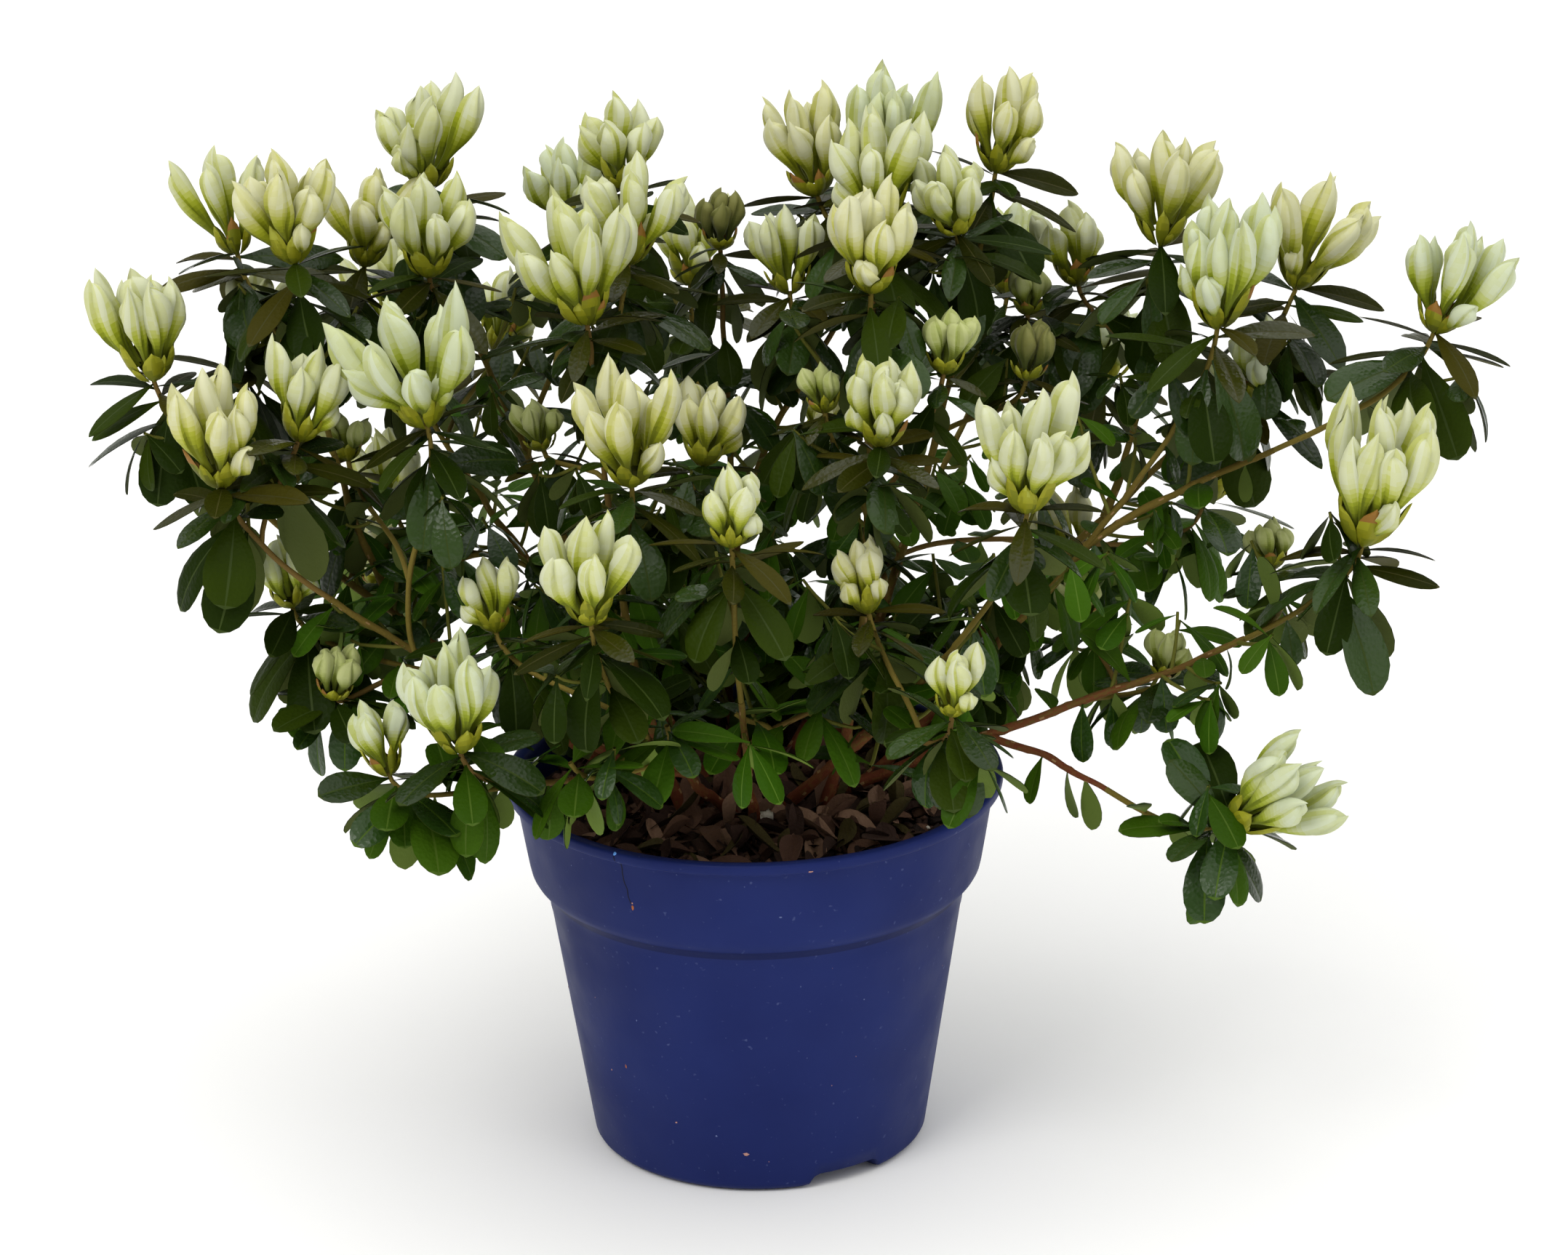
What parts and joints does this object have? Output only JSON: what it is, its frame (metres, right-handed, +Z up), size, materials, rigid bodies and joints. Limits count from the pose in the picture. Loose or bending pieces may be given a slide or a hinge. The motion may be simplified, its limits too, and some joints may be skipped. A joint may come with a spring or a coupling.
{
  "type": "azalea shrub",
  "caption": "Evergreen azalea shrub in bud: pale pointed bud clusters over whorls of dark green leaves on spreading stems, in a round nursery pot filled with bark mulch.",
  "frame": {"origin": "middle of the plant's width and depth, on the ground that the pot stands on", "axes": "+Z up along the pot's axis, +X to the right and +Y to the back as seen from the pictured side"},
  "size_m": [0.5304, 0.3566, 0.4072],
  "materials": {
    "pot": "satin moulded navy blue plastic",
    "mulch": "loose dark brown bark chips and dry leaves",
    "bark": "matte red-brown bark with pale leaf scars",
    "foliage": "waxy dark green leaves",
    "buds": "soft cream petals with yellow-green creases"
  },
  "bodies": {
    "root": {"pot": "pot", "mulch": "mulch", "stem_right": "bark", "stem_far_top_right": "bark", "stem_top_right": "bark", "stem_back_right": "bark", "stem_single": "bark", "stem_back": "bark", "stem_back_left": "bark", "stem_top_left": "bark", "stem_far_left": "bark", "stem_left": "bark", "stem_centre_left": "bark", "stem_front_left": "bark", "stem_front": "bark", "stem_front_right": "bark", "stem_centre": "bark", "stem_right_low": "bark", "bough_upper_left": "bark", "bough_low_front_left": "bark", "bough_top_centre": "bark", "bough_right_top": "bark", "bough_far_right": "bark", "bough_low_front_right": "bark", "bough_low_far_right": "bark", "mass_right": "foliage", "mass_far_top_right": "foliage", "mass_top_right": "foliage", "mass_back_right": "foliage", "mass_single": "foliage", "mass_back": "foliage", "mass_back_left": "foliage", "mass_top_left": "foliage", "mass_far_left": "foliage", "mass_left": "foliage", "mass_centre_left": "foliage", "mass_front_left": "foliage", "mass_front": "foliage", "mass_front_right": "foliage", "mass_centre": "foliage", "mass_right_low": "foliage", "mass_upper_left": "foliage", "mass_low_front_left": "foliage", "mass_top_centre": "foliage", "mass_right_top": "foliage", "mass_far_right": "foliage", "mass_low_front_right": "foliage", "mass_low_far_right": "foliage", "mass_left_mid": "foliage", "mass_left_low": "foliage", "mass_inner_left": "foliage", "mass_back_top_left": "foliage", "mass_mid_left": "foliage", "mass_mid_right": "foliage", "mass_inner_right": "foliage", "mass_lower_right": "foliage", "mass_rosette": "foliage", "mass_inner_front": "foliage", "mass_back_left_low": "foliage", "mass_back_right_low": "foliage"}
  },
  "joints": []
}
